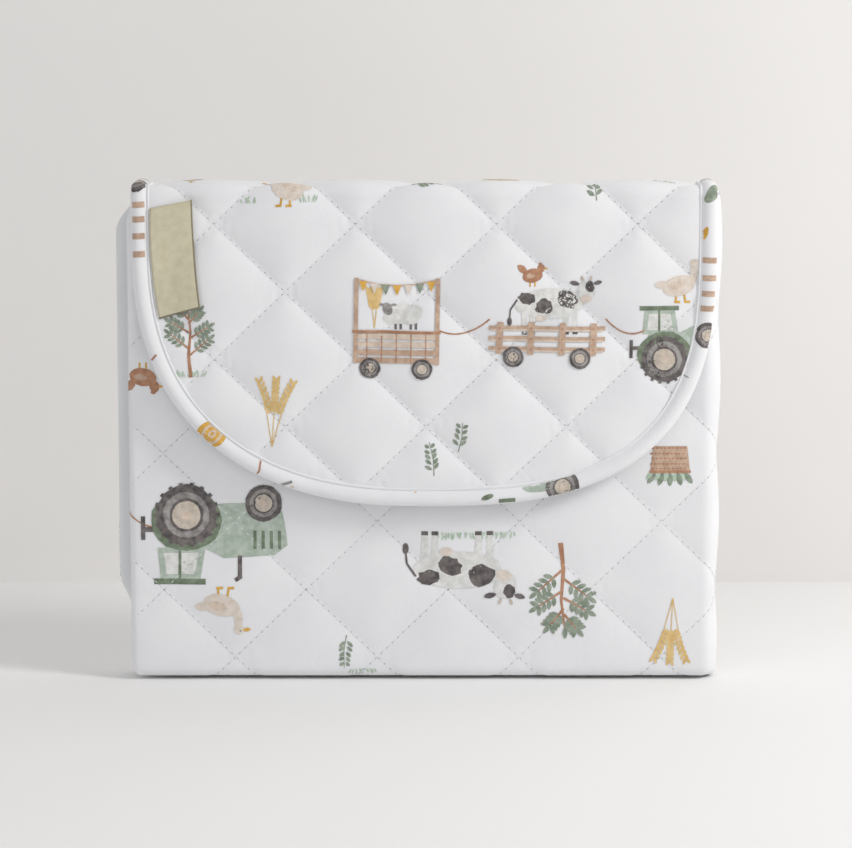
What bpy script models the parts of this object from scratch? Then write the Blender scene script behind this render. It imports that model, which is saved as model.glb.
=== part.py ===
"""Folded travel changing pad: a quilted mat folded in four, closed by a bound flap.

The pad stands on its two bottom folds. The origin is on the floor at the middle of its whole width
and depth, +X to the right, +Y to the back and +Z up. The mat is folded up at the bottom and then
closed like a book, whose spine is the fold on the right. The flap is sewn to the back half's top
edge, runs over the packet and hangs down in front.
"""

import math

import bmesh
import bpy
from mathutils import Matrix, Vector

COLLECTION = "changing_pad"

# The closed packet.
PACKET_WIDTH = 0.300
PACKET_HEIGHT = 0.2453
FRONT_SETBACK = 0.0045
EDGE_ROUND = 0.004

# Cloth and filling, each as a thickness.
COVER_CLOTH = 0.0006
LINING_CLOTH = 0.0006
MAT_WADDING = 0.0046
FLAP_WADDING = 0.0034
LINING_SETBACK = 0.0015

# The flap, set in a little from the packet's sides. Its sides run straight down and then round to
# the tip, fuller on the right.
FLAP_INSET_LEFT = 0.0059
FLAP_INSET_RIGHT = 0.0021
FLAP_STRAIGHT = 0.0236
FLAP_ROUND_DROP = 0.1319
ROUND_POWER_LEFT = 2.4
ROUND_POWER_RIGHT = 2.8
ROUND_STEPS = 28

# The folded strip of cover cloth that binds the flap's free edge.
BINDING_WIDTH = 0.0095
BINDING_CLOTH = 0.0006

# Hook tape under the flap and loop tape on the front.
TAPE_THICKNESS = 0.0010
HOOK_LENGTH = 0.080
HOOK_WIDTH = 0.020
LOOP_LENGTH = 0.100
LOOP_WIDTH = 0.025
TAPE_ABOVE_TIP = 0.026

# The woven label, sewn down along its left edge only.
LABEL_WIDTH = 0.0215
LABEL_LENGTH = 0.053
LABEL_THICKNESS = 0.0008
LABEL_LEAN_DEG = 6.0
LABEL_FROM_BINDING = 0.0030
LABEL_BELOW_FOLD = 0.0065

# Clearances.
GAP = 0.0003
FLAP_OVER_MAT = 0.0006
CUT_PAST = 0.010

# Worked out from the sizes above.
LEG = COVER_CLOTH + GAP + MAT_WADDING
LINING_SLOT = 2 * LINING_CLOTH + 3 * GAP
HALF_DEPTH = 2 * LEG + LINING_SLOT
BACK_LEFT = -PACKET_WIDTH / 2
FRONT_LEFT = BACK_LEFT + FRONT_SETBACK
RIGHT = PACKET_WIDTH / 2
FLAP_STACK = GAP + LINING_CLOTH + GAP + FLAP_WADDING + GAP + COVER_CLOTH + GAP
FLAP_DEPTH = FLAP_STACK + 2 * BINDING_CLOTH
TAPE_ROOM = 2 * TAPE_THICKNESS + 3 * GAP
LABEL_PROUD = LABEL_THICKNESS - BINDING_CLOTH
BEHIND_MIDDLE = GAP / 2 + HALF_DEPTH
BEFORE_MIDDLE = BEHIND_MIDDLE + TAPE_ROOM - GAP - BINDING_CLOTH + FLAP_DEPTH + LABEL_PROUD
MIDDLE = (BEFORE_MIDDLE - BEHIND_MIDDLE) / 2
BACK_FACE = MIDDLE + BEHIND_MIDDLE
FRONT_FACE = MIDDLE - BEHIND_MIDDLE
FLAP_LEFT = BACK_LEFT + FLAP_INSET_LEFT
FLAP_RIGHT = RIGHT - FLAP_INSET_RIGHT
FLAP_WIDTH = FLAP_RIGHT - FLAP_LEFT
FLAP_CENTRE = (FLAP_LEFT + FLAP_RIGHT) / 2

# Joint axes. Each flap fold turns on its inner crease, so that the flap opens in line with the back.
TOP_FOLD = Vector((0, BACK_FACE - FLAP_DEPTH, PACKET_HEIGHT + FLAP_OVER_MAT))
FRONT_FOLD = Vector((0, FRONT_FACE - TAPE_ROOM + GAP + BINDING_CLOTH, TOP_FOLD.z))
SIDE_FOLD = Vector((RIGHT + GAP / 2, MIDDLE, 0))
FLAP_TOP = FRONT_FOLD.z - GAP / 2
FLAP_TIP = FRONT_FOLD.z - FLAP_STRAIGHT - FLAP_ROUND_DROP
TAPE_HEIGHT = FLAP_TIP + TAPE_ABOVE_TIP
LABEL_FACE = FRONT_FOLD.y - FLAP_DEPTH - LABEL_PROUD
LABEL_FOLD = Vector(
    (FLAP_LEFT + BINDING_WIDTH + LABEL_FROM_BINDING, LABEL_FACE, FRONT_FOLD.z - LABEL_BELOW_FOLD)
)


def clear_scene():
    for old in list(bpy.data.objects):
        bpy.data.objects.remove(old, do_unlink=True)


def new_collection(name):
    made = bpy.data.collections.new(name)
    bpy.context.scene.collection.children.link(made)
    return made


def finish(name, colour, roughness):
    made = bpy.data.materials.new(name)
    made.use_nodes = True
    shader = made.node_tree.nodes["Principled BSDF"]
    shader.inputs["Base Color"].default_value = (*colour, 1)
    shader.inputs["Roughness"].default_value = roughness
    shader.inputs["Metallic"].default_value = 0
    return made


clear_scene()
parts = new_collection(COLLECTION)
cutters = new_collection("cutters")
cutters.hide_render = True

PRINTED_COTTON = finish("printed_cotton", (0.86, 0.87, 0.88), 0.85)
BINDING_COTTON = finish("binding_cotton", (0.84, 0.85, 0.87), 0.85)
POLYESTER_WADDING = finish("polyester_wadding", (0.93, 0.93, 0.92), 0.95)
COATED_LINING = finish("coated_lining", (0.88, 0.89, 0.90), 0.45)
WOVEN_KHAKI = finish("woven_khaki", (0.60, 0.57, 0.37), 0.80)
HOOK_AND_LOOP = finish("hook_and_loop", (0.82, 0.82, 0.82), 0.90)


def add_object(name, mesh, material, joint):
    """The mesh comes in world places. A piece of a moving body is hung on its joint's empty."""
    made = bpy.data.objects.new(name, mesh)
    parts.objects.link(made)
    mesh.materials.append(material)
    if joint:
        mesh.transform(Matrix.Translation(-joint.matrix_world.translation))
        made.parent = joint
    return made


def add_cutter(name, mesh):
    made = bpy.data.objects.new(name, mesh)
    cutters.objects.link(made)
    made.hide_render = True
    made.display_type = "WIRE"
    return made


def add_joint(name, place, parent=None):
    """An empty on a joint's axis."""
    made = bpy.data.objects.new(name, None)
    parts.objects.link(made)
    made.parent = parent
    made.location = place - (parent.matrix_world.translation if parent else Vector())
    bpy.context.view_layer.update()
    return made


def box_mesh(name, low, high):
    low, high = Vector(low), Vector(high)
    shape = bmesh.new()
    bmesh.ops.create_cube(shape, size=1)
    bmesh.ops.scale(shape, vec=high - low, verts=shape.verts)
    bmesh.ops.translate(shape, vec=(low + high) / 2, verts=shape.verts)
    mesh = bpy.data.meshes.new(name)
    shape.to_mesh(mesh)
    shape.free()
    return mesh


def plate_mesh(name, outline, back, front):
    """An outline in X and Z, given depth in Y between its back and front faces."""
    curve = bpy.data.curves.new(name, "CURVE")
    curve.dimensions = "2D"
    curve.fill_mode = "BOTH"
    curve.extrude = (back - front) / 2
    spline = curve.splines.new("POLY")
    spline.points.add(len(outline) - 1)
    for point, (x, z) in zip(spline.points, outline):
        point.co = (x, z, 0, 1)
    spline.use_cyclic_u = True
    flat = bpy.data.objects.new(name, curve)
    cutters.objects.link(flat)
    bpy.context.view_layer.update()
    mesh = bpy.data.meshes.new_from_object(flat.evaluated_get(bpy.context.evaluated_depsgraph_get()))
    bpy.data.objects.remove(flat, do_unlink=True)
    mesh.transform(
        Matrix.Translation((0, (back + front) / 2, 0)) @ Matrix.Rotation(math.pi / 2, 4, "X")
    )
    shape = bmesh.new()
    shape.from_mesh(mesh)
    bmesh.ops.remove_doubles(shape, verts=shape.verts, dist=0.00001)
    bmesh.ops.recalc_face_normals(shape, faces=shape.faces)
    shape.to_mesh(mesh)
    shape.free()
    return mesh


def round_edges(piece, radius, segments=3):
    rounding = piece.modifiers.new("round_edges", "BEVEL")
    rounding.width = radius
    rounding.segments = segments
    rounding.limit_method = "ANGLE"


def cut(piece, cutter):
    opening = piece.modifiers.new(cutter.name, "BOOLEAN")
    opening.operation = "DIFFERENCE"
    opening.solver = "EXACT"
    opening.object = cutter
    if piece.parent and not cutter.parent:
        cutter.parent = piece.parent
        cutter.data.transform(Matrix.Translation(-piece.parent.matrix_world.translation))


def flap_outline(inset, top):
    """The flap's outline seen from the front, moved in by the inset, from its left top to its right top."""
    start = FRONT_FOLD.z - FLAP_STRAIGHT
    outline = [(FLAP_LEFT + inset, top)]
    for step in range(ROUND_STEPS + 1):
        turn = math.pi * step / ROUND_STEPS
        power = ROUND_POWER_LEFT if turn < math.pi / 2 else ROUND_POWER_RIGHT
        across = math.copysign(abs(math.cos(turn)) ** (2 / power), -math.cos(turn))
        down = math.sin(turn) ** (2 / power)
        normal = Vector(
            (
                math.copysign(abs(across) ** (power - 1), across) / (FLAP_WIDTH / 2),
                -(down ** (power - 1)) / FLAP_ROUND_DROP,
            )
        ).normalized()
        outline.append(
            (
                FLAP_CENTRE + across * FLAP_WIDTH / 2 - inset * normal.x,
                start - down * FLAP_ROUND_DROP - inset * normal.y,
            )
        )
    outline.append((FLAP_RIGHT - inset, top))
    return outline


def folded_half(side, left, low_y, joint):
    """One half of the closed packet: cover, wadding and lining, folded up together at the bottom."""
    high_y = low_y + HALF_DEPTH
    middle = (low_y + high_y) / 2

    cover = add_object(
        f"{side}_cover",
        box_mesh("cover", (left, low_y, 0), (RIGHT, high_y, PACKET_HEIGHT)),
        PRINTED_COTTON,
        joint,
    )
    round_edges(cover, EDGE_ROUND)
    inside = add_cutter(
        f"{side}_cover_inside",
        box_mesh(
            "inside",
            (left + COVER_CLOTH, low_y + COVER_CLOTH, COVER_CLOTH),
            (RIGHT - COVER_CLOTH, high_y - COVER_CLOTH, PACKET_HEIGHT - COVER_CLOTH),
        ),
    )
    round_edges(inside, EDGE_ROUND - COVER_CLOTH)
    slot = add_cutter(
        f"{side}_lining_slot",
        box_mesh(
            "slot",
            (left - CUT_PAST, middle - LINING_SLOT / 2, LEG),
            (RIGHT - LEG, middle + LINING_SLOT / 2, PACKET_HEIGHT + CUT_PAST),
        ),
    )
    cut(cover, inside)
    cut(cover, slot)

    skin = COVER_CLOTH + GAP
    wadding = add_object(
        f"{side}_wadding",
        box_mesh(
            "wadding",
            (left + skin, low_y + skin, skin),
            (RIGHT - skin, high_y - skin, PACKET_HEIGHT - skin),
        ),
        POLYESTER_WADDING,
        joint,
    )
    round_edges(wadding, EDGE_ROUND - skin)
    cut(wadding, slot)

    lining = add_object(
        f"{side}_lining",
        box_mesh(
            "lining",
            (left + LINING_SETBACK, middle - LINING_SLOT / 2 + GAP, LEG + GAP),
            (RIGHT - LEG - GAP, middle + LINING_SLOT / 2 - GAP, PACKET_HEIGHT - LINING_SETBACK),
        ),
        COATED_LINING,
        joint,
    )
    slit = add_cutter(
        f"{side}_lining_slit",
        box_mesh(
            "slit",
            (left - CUT_PAST, middle - GAP / 2, LEG + GAP + LINING_CLOTH),
            (RIGHT - LEG - GAP - LINING_CLOTH, middle + GAP / 2, PACKET_HEIGHT + CUT_PAST),
        ),
    )
    cut(lining, slit)


def loop_tape(joint):
    add_object(
        "loop_tape",
        box_mesh(
            "loop_tape",
            (FLAP_CENTRE - LOOP_LENGTH / 2, FRONT_FACE - GAP - TAPE_THICKNESS, TAPE_HEIGHT - LOOP_WIDTH / 2),
            (FLAP_CENTRE + LOOP_LENGTH / 2, FRONT_FACE - GAP, TAPE_HEIGHT + LOOP_WIDTH / 2),
        ),
        HOOK_AND_LOOP,
        joint,
    )


def flap_layers(binding_face):
    """Where each layer of the flap lies, as distances out from the binding's inner face."""
    lining = binding_face + BINDING_CLOTH + GAP
    wadding = lining + LINING_CLOTH + GAP
    cover = wadding + FLAP_WADDING + GAP
    return {
        "lining": (lining, lining + LINING_CLOTH, COATED_LINING),
        "wadding": (wadding, wadding + FLAP_WADDING, POLYESTER_WADDING),
        "cover": (cover, cover + COVER_CLOTH, PRINTED_COTTON),
    }


def flap_spine(joint):
    """The stretch of flap that lies over the packet, between its two folds, bound at both ends."""
    front, back = FRONT_FOLD.y + GAP / 2, TOP_FOLD.y - GAP / 2
    skin = BINDING_CLOTH + GAP
    for layer, (inner, outer, material) in flap_layers(TOP_FOLD.z).items():
        add_object(
            f"flap_spine_{layer}",
            box_mesh(layer, (FLAP_LEFT + skin, front, inner), (FLAP_RIGHT - skin, back, outer)),
            material,
            joint,
        )
    ends = {
        "left": (FLAP_LEFT, FLAP_LEFT + BINDING_WIDTH, FLAP_LEFT + BINDING_CLOTH, FLAP_RIGHT),
        "right": (FLAP_RIGHT - BINDING_WIDTH, FLAP_RIGHT, FLAP_LEFT, FLAP_RIGHT - BINDING_CLOTH),
    }
    for end, (low, high, room_low, room_high) in ends.items():
        binding = add_object(
            f"flap_spine_binding_{end}",
            box_mesh(end, (low, front, TOP_FOLD.z), (high, back, TOP_FOLD.z + FLAP_DEPTH)),
            BINDING_COTTON,
            joint,
        )
        room = add_cutter(
            f"flap_spine_room_{end}",
            box_mesh(
                end,
                (room_low, front - CUT_PAST, TOP_FOLD.z + BINDING_CLOTH),
                (room_high, back + CUT_PAST, TOP_FOLD.z + FLAP_DEPTH - BINDING_CLOTH),
            ),
        )
        cut(binding, room)


def flap(joint):
    """The hanging face of the flap, with the binding folded over its curved edge."""
    back_face = FRONT_FOLD.y
    skin = BINDING_CLOTH + GAP
    for layer, (inner, outer, material) in flap_layers(0).items():
        add_object(
            f"flap_{layer}",
            plate_mesh(layer, flap_outline(skin, FLAP_TOP), back_face - inner, back_face - outer),
            material,
            joint,
        )
    binding = add_object(
        "flap_binding",
        plate_mesh("binding", flap_outline(0, FLAP_TOP), back_face, back_face - FLAP_DEPTH),
        BINDING_COTTON,
        joint,
    )
    room = add_cutter(
        "flap_binding_room",
        plate_mesh(
            "room",
            flap_outline(BINDING_CLOTH, FLAP_TOP + CUT_PAST),
            back_face - BINDING_CLOTH,
            back_face - FLAP_DEPTH + BINDING_CLOTH,
        ),
    )
    window = add_cutter(
        "flap_binding_window",
        plate_mesh(
            "window",
            flap_outline(BINDING_WIDTH, FLAP_TOP + CUT_PAST),
            back_face + CUT_PAST,
            back_face - FLAP_DEPTH - CUT_PAST,
        ),
    )
    cut(binding, room)
    cut(binding, window)


def hook_tape(joint):
    back = FRONT_FACE - 2 * GAP - TAPE_THICKNESS
    add_object(
        "hook_tape",
        box_mesh(
            "hook_tape",
            (FLAP_CENTRE - HOOK_LENGTH / 2, back - TAPE_THICKNESS, TAPE_HEIGHT - HOOK_WIDTH / 2),
            (FLAP_CENTRE + HOOK_LENGTH / 2, back, TAPE_HEIGHT + HOOK_WIDTH / 2),
        ),
        HOOK_AND_LOOP,
        joint,
    )


def woven_label(joint):
    """The label hangs from its stitched edge, which leans with the flap's curved side."""
    place = LABEL_FOLD
    mesh = box_mesh(
        "label",
        (place.x, place.y, place.z - LABEL_LENGTH),
        (place.x + LABEL_WIDTH, place.y + LABEL_THICKNESS, place.z),
    )
    lean = Matrix.Rotation(-math.radians(LABEL_LEAN_DEG), 4, "Y")
    mesh.transform(Matrix.Translation(place) @ lean @ Matrix.Translation(-place))
    add_object("woven_label", mesh, WOVEN_KHAKI, joint)


side_fold = add_joint("side_fold_axis", SIDE_FOLD)
top_fold = add_joint("flap_top_fold_axis", TOP_FOLD)
front_fold = add_joint("flap_front_fold_axis", FRONT_FOLD, top_fold)
label_fold = add_joint("label_fold_axis", LABEL_FOLD, front_fold)

folded_half("back", BACK_LEFT, BACK_FACE - HALF_DEPTH, None)
folded_half("front", FRONT_LEFT, FRONT_FACE, side_fold)
loop_tape(side_fold)
flap_spine(top_fold)
flap(front_fold)
hook_tape(front_fold)
woven_label(label_fold)
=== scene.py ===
import math
import random

import bmesh
import bpy
import numpy as np
from mathutils import Matrix, Vector
from mathutils.bvhtree import BVHTree


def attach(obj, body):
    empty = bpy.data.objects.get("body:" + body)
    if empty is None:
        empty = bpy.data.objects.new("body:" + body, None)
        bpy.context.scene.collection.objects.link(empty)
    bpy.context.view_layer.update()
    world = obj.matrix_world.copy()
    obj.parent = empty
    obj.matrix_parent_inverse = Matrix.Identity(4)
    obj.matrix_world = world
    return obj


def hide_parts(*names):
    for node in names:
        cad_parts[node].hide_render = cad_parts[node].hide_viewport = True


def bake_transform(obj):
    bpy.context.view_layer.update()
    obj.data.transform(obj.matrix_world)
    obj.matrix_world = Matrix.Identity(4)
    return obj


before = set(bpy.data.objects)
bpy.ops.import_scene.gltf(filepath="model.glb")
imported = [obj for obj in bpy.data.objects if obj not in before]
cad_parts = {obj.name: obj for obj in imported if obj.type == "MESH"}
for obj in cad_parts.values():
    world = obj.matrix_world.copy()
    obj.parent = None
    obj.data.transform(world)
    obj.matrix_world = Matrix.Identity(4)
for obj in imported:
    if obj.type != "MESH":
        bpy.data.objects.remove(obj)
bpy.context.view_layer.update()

# --- Quilted flap ------------------------------------------------------------------------------
# The flap is printed cotton over wadding over the coated lining, quilted in a diamond lattice.
# It is made flat, as it is cut: u runs across the pad and v up it, then over the top fold.
# The stitched lines hold the cloth down, the wadding lifts what lies between them.

STITCH_PITCH = 0.0039
CELLS = 16
FLAP_DIAMOND = (0.03486, 0.03352)
FLAP_CROSSING = (-0.0667, 0.1975)
FLAP_CROWN = 0.0033
FLAP_CENTRE = 0.0022
FLAP_HALF = 0.1450
FLAP_STRAIGHT = 0.2223
FLAP_DROP = 0.1319
FLAP_POWERS = (2.4, 2.8)
FLAP_FACE = -0.0140
FOLD_START = 0.2451
FOLD_ROUND = 0.0040
TOP_FRONT = -0.0100
TOP_BACK = 0.0105
FOLD_TURN = FOLD_ROUND * math.pi / 2
TOP_START = FOLD_START + FOLD_TURN
TOP_END = TOP_START + TOP_BACK - TOP_FRONT
FLAP_ROOT = TOP_END + FOLD_TURN
FLAP_SPLIT = TOP_START + 0.0150
TIP_LIFT = 0.0030
STITCHED_THICKNESS = 0.0012
SIM_SCALE = 40.0
SIM_FRAMES = 20


def smooth(t):
    t = min(max(t, 0.0), 1.0)
    return t * t * (3 - 2 * t)


def fold_flap(u, v, h):
    """Where a point of the flat flap lies once it hangs from the back, over the top and down the front."""
    if v < FOLD_START:
        lift = TIP_LIFT * smooth((FOLD_START - v) / 0.16) * (1.15 - 0.35 * u / FLAP_HALF)
        return Vector((u, FLAP_FACE - lift - h, v))
    if v < TOP_START:
        t = (v - FOLD_START) / FOLD_ROUND
        reach = FOLD_ROUND + h
        return Vector((u, TOP_FRONT - reach * math.cos(t), FOLD_START + reach * math.sin(t)))
    if v < TOP_END:
        return Vector((u, TOP_FRONT + v - TOP_START, FOLD_START + FOLD_ROUND + h))
    t = (v - TOP_END) / FOLD_ROUND
    reach = FOLD_ROUND + h
    if t < math.pi / 2:
        return Vector((u, TOP_BACK + reach * math.sin(t), FOLD_START + reach * math.cos(t)))
    return Vector((u, TOP_BACK + reach, FOLD_START - (v - FLAP_ROOT)))


def flap_edge(inset):
    """The flap's outline in the flat, from the left end of the root round the tip to the right end."""
    points = [(FLAP_CENTRE - FLAP_HALF + inset, FLAP_ROOT), (FLAP_CENTRE - FLAP_HALF + inset, FLAP_STRAIGHT)]
    for side, power in ((-1, FLAP_POWERS[0]), (1, FLAP_POWERS[1])):
        arc = []
        for step in range(1, 160):
            t = step / 160 * math.pi / 2
            across = math.cos(t) ** (2 / power) * (FLAP_HALF - inset)
            down = math.sin(t) ** (2 / power) * (FLAP_DROP - inset)
            arc.append((FLAP_CENTRE + side * across, FLAP_STRAIGHT - down))
        points += arc if side < 0 else [(FLAP_CENTRE, FLAP_STRAIGHT - FLAP_DROP + inset)] + arc[::-1]
    points += [(FLAP_CENTRE + FLAP_HALF - inset, FLAP_STRAIGHT), (FLAP_CENTRE + FLAP_HALF - inset, FLAP_ROOT)]
    return np.array(points)


def on_flap(u, v, inset):
    across = abs(u - FLAP_CENTRE) / (FLAP_HALF - inset)
    if v >= FLAP_STRAIGHT:
        return across < 1
    power = FLAP_POWERS[0] if u < FLAP_CENTRE else FLAP_POWERS[1]
    return across**power + ((FLAP_STRAIGHT - v) / (FLAP_DROP - inset)) ** power < 1


def flat_cloth(diamond, crossing, low, high, inside):
    """A flat grid of cloth whose edges and diagonals fall on the quilting lines."""
    step = (diamond[0] / CELLS, diamond[1] / CELLS)
    first = [math.floor((low[i] - crossing[i]) / step[i] + 0.001) for i in (0, 1)]
    last = [math.ceil((high[i] - crossing[i]) / step[i] - 0.001) for i in (0, 1)]
    bm = bmesh.new()
    bmesh.ops.create_grid(bm, x_segments=last[0] - first[0], y_segments=last[1] - first[1], size=0.5)
    for vert in bm.verts:
        for i in (0, 1):
            place = first[i] + (vert.co[i] + 0.5) * (last[i] - first[i])
            vert.co[i] = min(max(crossing[i] + place * step[i], low[i]), high[i])
    bmesh.ops.poke(bm, faces=bm.faces)
    spare = [f for f in bm.faces if not inside(*f.calc_center_median().xy)]
    bmesh.ops.delete(bm, geom=spare, context="FACES")
    bm.verts.index_update()
    bm.verts.ensure_lookup_table()
    return bm


def line_gap(diamond, crossing, u, v):
    """How far, in the lattice's own measure, a point is from each family of quilting lines."""
    across = (u - crossing[0]) / diamond[0]
    up = (v - crossing[1]) / diamond[1]
    rising, falling = (across - up) / 2, (across + up) / 2
    return abs(rising - round(rising)), abs(falling - round(falling))


def raise_quilting(bm, diamond, crossing, crown, pressure, slack, held):
    """Wadding pushes the cloth up between its stitched lines, by cloth simulation."""
    stitched = []
    for vert in bm.verts:
        gaps = line_gap(diamond, crossing, vert.co.x, vert.co.y)
        if min(gaps) < 1e-3 or held(vert):
            stitched.append(vert.index)
    for vert in bm.verts:
        vert.co *= SIM_SCALE
    mesh = bpy.data.meshes.new("cloth")
    bm.to_mesh(mesh)
    cloth = bpy.data.objects.new("cloth", mesh)
    bpy.context.scene.collection.objects.link(cloth)
    cloth.vertex_groups.new(name="stitched").add(stitched, 1.0, "REPLACE")
    wadding = cloth.modifiers.new("wadding", "CLOTH")
    wadding.settings.vertex_group_mass = "stitched"
    wadding.settings.use_pressure = True
    wadding.settings.uniform_pressure_force = pressure
    wadding.settings.shrink_min = -slack
    wadding.settings.effector_weights.gravity = 0
    wadding.settings.mass = 0.05
    wadding.settings.bending_stiffness = 0.3
    wadding.collision_settings.use_collision = False
    wadding.collision_settings.use_self_collision = False
    wadding.point_cache.frame_start = 1
    wadding.point_cache.frame_end = SIM_FRAMES
    for step in range(1, SIM_FRAMES + 1):
        bpy.context.scene.frame_set(step)
    settled = cloth.evaluated_get(bpy.context.evaluated_depsgraph_get()).to_mesh()
    moved = np.array([v.co for v in settled.vertices]) / SIM_SCALE
    bpy.data.objects.remove(cloth)
    bpy.data.meshes.remove(mesh)
    bpy.context.scene.frame_set(1)
    height = np.percentile(moved[:, 2], 97)
    for vert, place in zip(bm.verts, moved):
        lifted = place[2] * crown / height
        vert.co = (place[0], place[1], min(lifted, 1.15 * crown))


def fold(bm, path):
    for vert in bm.verts:
        vert.co = path(vert.co.x, vert.co.y, vert.co.z)


def cut(bm, place, normal, keep_far=False):
    """Cuts a flat piece along a straight line and drops one side of it."""
    bmesh.ops.bisect_plane(
        bm,
        geom=bm.verts[:] + bm.edges[:] + bm.faces[:],
        plane_co=place,
        plane_no=normal,
        clear_outer=not keep_far,
        clear_inner=keep_far,
    )


def cloth_below(ground, u, v):
    """The point of the flat cloth at a place, or nothing where there is no cloth."""
    return ground.ray_cast(Vector((u, v, 1)), Vector((0, 0, -1)))[0]


def make_piece(name, bm, *materials):
    mesh = bpy.data.meshes.new(name)
    bm.to_mesh(mesh)
    bm.free()
    for material in materials:
        mesh.materials.append(material)
    mesh.shade_smooth()
    obj = bpy.data.objects.new(name, mesh)
    bpy.context.scene.collection.objects.link(obj)
    return obj


def new_material(name):
    material = bpy.data.materials.new(name)
    material.use_nodes = True
    return material, material.node_tree.nodes, material.node_tree.links


def two_tones(nodes, dark, light, low, high):
    """A ramp from a dark tone to a light one."""
    ramp = nodes.new("ShaderNodeValToRGB")
    for i, (position, colour) in enumerate(((low, dark), (high, light))):
        ramp.color_ramp.elements[i].position = position
        ramp.color_ramp.elements[i].color = (*colour, 1)
    return ramp


def add_relief(nodes, links, height, distance, strength):
    """Bumps the material's surface by a height."""
    relief = nodes.new("ShaderNodeBump")
    relief.inputs["Distance"].default_value = distance
    relief.inputs["Strength"].default_value = strength
    links.new(height, relief.inputs["Height"])
    links.new(relief.outputs["Normal"], nodes["Principled BSDF"].inputs["Normal"])


def cotton_weave():
    """Fine plain weave with slubs: a height for the bump, and a slow tone for the colour."""
    group = bpy.data.node_groups.new("cotton_weave", "ShaderNodeTree")
    for output in ("Height", "Tone", "Mottle"):
        group.interface.new_socket(output, in_out="OUTPUT", socket_type="NodeSocketFloat")
    nodes, links = group.nodes, group.links
    place = nodes.new("ShaderNodeTexCoord")
    out = nodes.new("NodeGroupOutput")
    noises = []
    for scale, detail in ((1400, 2), (260, 3), (45, 4), (330, 5)):
        noise = nodes.new("ShaderNodeTexNoise")
        noise.inputs["Scale"].default_value = scale
        noise.inputs["Detail"].default_value = detail
        links.new(place.outputs["Object"], noise.inputs["Vector"])
        noises.append(noise)
    fine, slub, slow, mottle = noises
    add = nodes.new("ShaderNodeMath")
    links.new(fine.outputs["Fac"], add.inputs[0])
    links.new(slub.outputs["Fac"], add.inputs[1])
    links.new(add.outputs[0], out.inputs["Height"])
    links.new(slow.outputs["Fac"], out.inputs["Tone"])
    links.new(mottle.outputs["Fac"], out.inputs["Mottle"])
    return group


WEAVE = cotton_weave()


def cotton(name, light, dark, bump=0.00012, roughness=0.86):
    material, nodes, links = new_material(name)
    shader = nodes["Principled BSDF"]
    shader.inputs["Roughness"].default_value = roughness
    shader.inputs["Sheen Weight"].default_value = 0.12
    weave = nodes.new("ShaderNodeGroup")
    weave.node_tree = WEAVE
    tone = two_tones(nodes, dark, light, 0.35, 0.68)
    links.new(weave.outputs["Tone"], tone.inputs["Fac"])
    links.new(tone.outputs["Color"], shader.inputs["Base Color"])
    add_relief(nodes, links, weave.outputs["Height"], bump, 0.6)
    return material


WHITE_COTTON = cotton("printed_cotton_ground", (0.86, 0.865, 0.885), (0.83, 0.835, 0.86))

flap_flat = flat_cloth(
    FLAP_DIAMOND,
    FLAP_CROSSING,
    (FLAP_CENTRE - FLAP_HALF, FLAP_STRAIGHT - FLAP_DROP),
    (FLAP_CENTRE + FLAP_HALF, FLAP_ROOT),
    lambda u, v: on_flap(u, v, 0.0045),
)
raise_quilting(flap_flat, FLAP_DIAMOND, FLAP_CROSSING, FLAP_CROWN, 6, 0.02, lambda vert: vert.is_boundary)
flap_ground = BVHTree.FromBMesh(flap_flat)
lining_flat = flap_flat.copy()


def split_flap(bm):
    """Parts a flat piece of the flap where the root strip takes over, behind the crest."""
    root = bm.copy()
    for half, keep_far in ((bm, False), (root, True)):
        cut(half, (0, FLAP_SPLIT, 0), (0, 1, 0), keep_far)
    return root


def ride_flap(name, bm, *materials):
    """Folds a flat piece over the crest; its front hangs from the front fold, its root bends at the top."""
    root = split_flap(bm)
    fold(bm, fold_flap)
    fold(root, fold_flap)
    front = make_piece(name, bm, *materials)
    back = make_piece(name + "_root", root, *materials)
    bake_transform(front)
    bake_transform(back)
    return front, back


flap_cloth, flap_root_cloth = ride_flap("flap_quilted_cotton", flap_flat, WHITE_COTTON)
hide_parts("flap_cover", "flap_wadding")
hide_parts("flap_spine_cover", "flap_spine_wadding")

# --- Flap binding ------------------------------------------------------------------------------
# A folded strip of the same cotton wraps the flap's raw edge, wadding inside it, and is sewn
# down along its inner edge, where the seam stands up as a thin cord.


def along(points, step):
    """Points at an even spacing along a flat line, with the direction to its left at each."""
    lengths = np.concatenate([[0], np.cumsum(np.hypot(*np.diff(points, axis=0).T))])
    count = max(2, round(lengths[-1] / step))
    at = np.linspace(0, lengths[-1], count + 1)
    even = np.stack([np.interp(at, lengths, points[:, i]) for i in (0, 1)], 1)
    way = np.gradient(even, axis=0)
    way /= np.hypot(*way.T)[:, None]
    return even, np.stack([-way[:, 1], way[:, 0]], 1)


# How far in from the flap's edge, and how high, in millimetres.
BINDING_SECTION = [
    (9.5, -0.2),
    (9.5, 0.5),
    (9.2, 1.35),
    (8.6, 1.45),
    (8.2, 0.95),
    (7.6, 1.45),
    (6.4, 2.25),
    (4.8, 2.75),
    (3.2, 2.75),
    (1.7, 2.1),
    (0.6, 0.9),
    (0.15, -0.6),
    (0.7, -2.0),
    (2.0, -2.9),
    (4.0, -3.3),
    (6.4, -3.1),
    (8.4, -2.5),
    (9.5, -1.6),
]

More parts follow.
